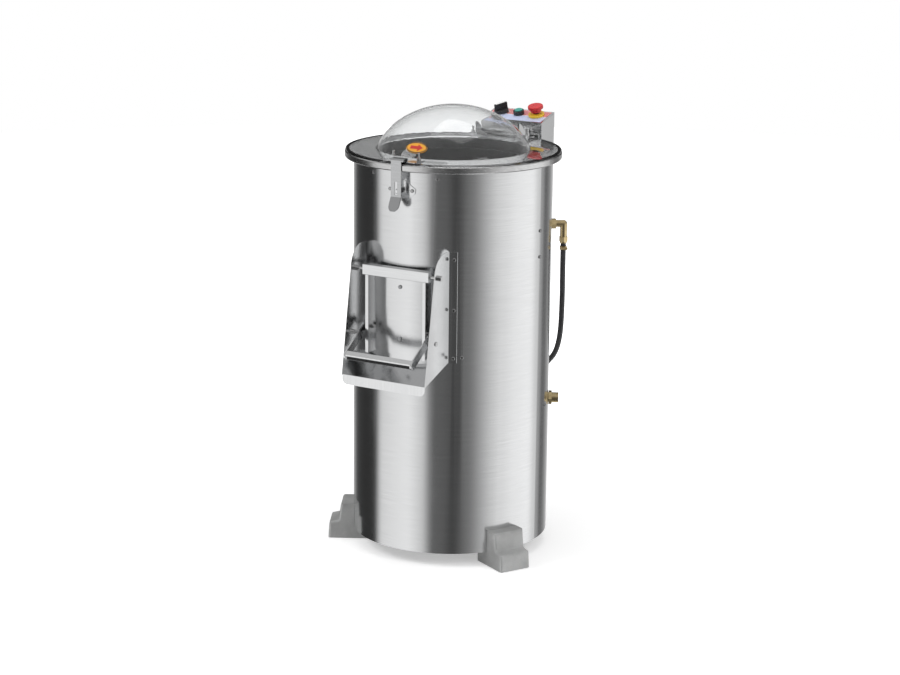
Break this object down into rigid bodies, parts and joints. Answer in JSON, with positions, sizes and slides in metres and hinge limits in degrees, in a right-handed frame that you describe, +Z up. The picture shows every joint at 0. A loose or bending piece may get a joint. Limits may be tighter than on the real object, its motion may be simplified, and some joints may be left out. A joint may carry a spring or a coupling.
{
  "type": "electric potato peeler",
  "caption": "Upright stainless drum peeler with a clear domed lid and hasp, a front discharge door with a lever, a control box, a belt drive and three cast feet.",
  "frame": {"origin": "On the drum axis, at the level of the three feet.", "axes": "+Z up along the drum axis, -Y towards the front with the discharge chute, +X to the right seen from the front."},
  "size_m": [0.5906, 0.7321, 1.1305],
  "materials": {
    "satin_steel": "brushed stainless steel sheet",
    "polished_steel": "polished stainless steel",
    "bolt_steel": "bright zinc-plated or stainless fastener steel",
    "clear_plastic": "clear moulded polycarbonate",
    "clear_gasket": "black sealing rubber",
    "grey_plastic": "grey moulded plastic",
    "badge_orange": "orange printed film with a plain arrow",
    "cast_aluminium": "sand-cast aluminium, matt",
    "abrasive": "silicon carbide grit in resin",
    "black_rubber": "black rubber",
    "brass": "machined brass",
    "cast_iron": "turned cast iron",
    "motor_paint": "grey enamel",
    "panel_label": "printed film in plain red and pale blue",
    "black_plastic": "black moulded plastic",
    "green_plastic": "green moulded plastic",
    "yellow_plastic": "yellow moulded plastic",
    "red_plastic": "red moulded plastic"
  },
  "bodies": {
    "cabinet": {"bearing_housing": "cast_iron", "box_spacers": "satin_steel", "button_bezel": "black_plastic", "cable_gland": "black_plastic", "casing": "satin_steel", "casing_rings": "satin_steel", "casing_screws": "bolt_steel", "chute_pins": "bolt_steel", "chute_sides": "satin_steel", "chute_tray": "satin_steel", "control_box": "satin_steel", "control_hood": "satin_steel", "door_duct": "satin_steel", "door_gasket": "black_rubber", "drain_pipe": "satin_steel", "drive_belt": "black_rubber", "drum": "satin_steel", "drum_floor": "satin_steel", "drum_lining": "abrasive", "foot_back": "cast_aluminium", "foot_left": "cast_aluminium", "foot_right": "cast_aluminium", "frame_bolts": "bolt_steel", "hose_fittings": "brass", "inlet_nipple": "brass", "latch_catch": "satin_steel", "lid_hinge_bracket": "satin_steel", "motor": "motor_paint", "motor_plate": "satin_steel", "motor_studs": "bolt_steel", "panel_label": "panel_label", "shaft_bearings": "bolt_steel", "solenoid_valve": "brass", "stop_collar": "yellow_plastic", "switchgear": "grey_plastic", "timer_body": "bolt_steel", "top_ring": "satin_steel", "water_hose": "black_rubber"},
    "lid": {"lid": "clear_plastic", "lid_gasket": "clear_gasket", "lid_sensor_plate": "grey_plastic", "direction_badge": "badge_orange", "hasp_bracket": "polished_steel", "lid_arms": "polished_steel", "lid_bolts": "bolt_steel"},
    "hasp": {"hasp": "polished_steel"},
    "door": {"door": "satin_steel", "door_hinge_bar": "satin_steel", "door_plug": "grey_plastic", "lever_pivot_bolts": "bolt_steel"},
    "door_lever": {"door_lever": "polished_steel"},
    "disc": {"disc": "satin_steel", "disc_abrasive": "abrasive", "disc_shaft": "bolt_steel", "driven_pulley": "cast_iron"},
    "motor_rotor": {"motor_shaft": "bolt_steel"},
    "timer_knob": {"timer_knob": "black_plastic"},
    "start_button": {"start_button": "green_plastic"},
    "stop_stem": {"stop_stem": "black_plastic"},
    "stop_button": {"stop_button": "red_plastic"}
  },
  "joints": [
    {"name": "lid_hinge", "type": "hinge", "parent": "cabinet", "child": "lid", "pos_m": [0, 0.288, 1.032], "axis": [-1, 0, 0], "range_deg": [0, 80]},
    {"name": "hasp_hinge", "type": "hinge", "parent": "lid", "child": "hasp", "pos_m": [0, -0.2707, 1.028], "axis": [-1, 0, 0], "range_deg": [0, 95]},
    {"name": "door_swing", "type": "hinge", "parent": "cabinet", "child": "door", "pos_m": [0, -0.268, 0.75], "axis": [-1, 0, 0], "range_deg": [0, 60]},
    {"name": "lever_turn", "type": "hinge", "parent": "door", "child": "door_lever", "pos_m": [0, -0.258, 0.605], "axis": [-1, 0, 0], "range_deg": [0, 60]},
    {"name": "disc_spin", "type": "hinge", "parent": "cabinet", "child": "disc", "pos_m": [0, 0, 0.5], "axis": [0, 0, 1], "continuous": true},
    {"name": "motor_spin", "type": "hinge", "parent": "cabinet", "child": "motor_rotor", "pos_m": [-0.16, 0, 0.4], "axis": [0, 0, 1], "continuous": true},
    {"name": "timer_turn", "type": "hinge", "parent": "cabinet", "child": "timer_knob", "pos_m": [-0.052, 0.34, 1.06432], "axis": [0, 0.2622, -0.965], "range_deg": [0, 300]},
    {"name": "start_push", "type": "slide", "parent": "cabinet", "child": "start_button", "axis": [0, 0.2622, -0.965], "range_m": [0, 0.003], "stiffness_N_per_m": 300},
    {"name": "stop_push", "type": "slide", "parent": "cabinet", "child": "stop_stem", "axis": [0, 0.2622, -0.965], "range_m": [0, 0.004], "stiffness_N_per_m": 500},
    {"name": "stop_twist", "type": "hinge", "parent": "stop_stem", "child": "stop_button", "pos_m": [0.052, 0.34, 1.06432], "axis": [0, 0.2622, -0.965], "range_deg": [0, 35], "stiffness_Nm_per_rad": 0.05}
  ],
  "couplings": [
    {"joint": "motor_spin", "follows": "disc_spin", "ratio": 3.3333}
  ]
}
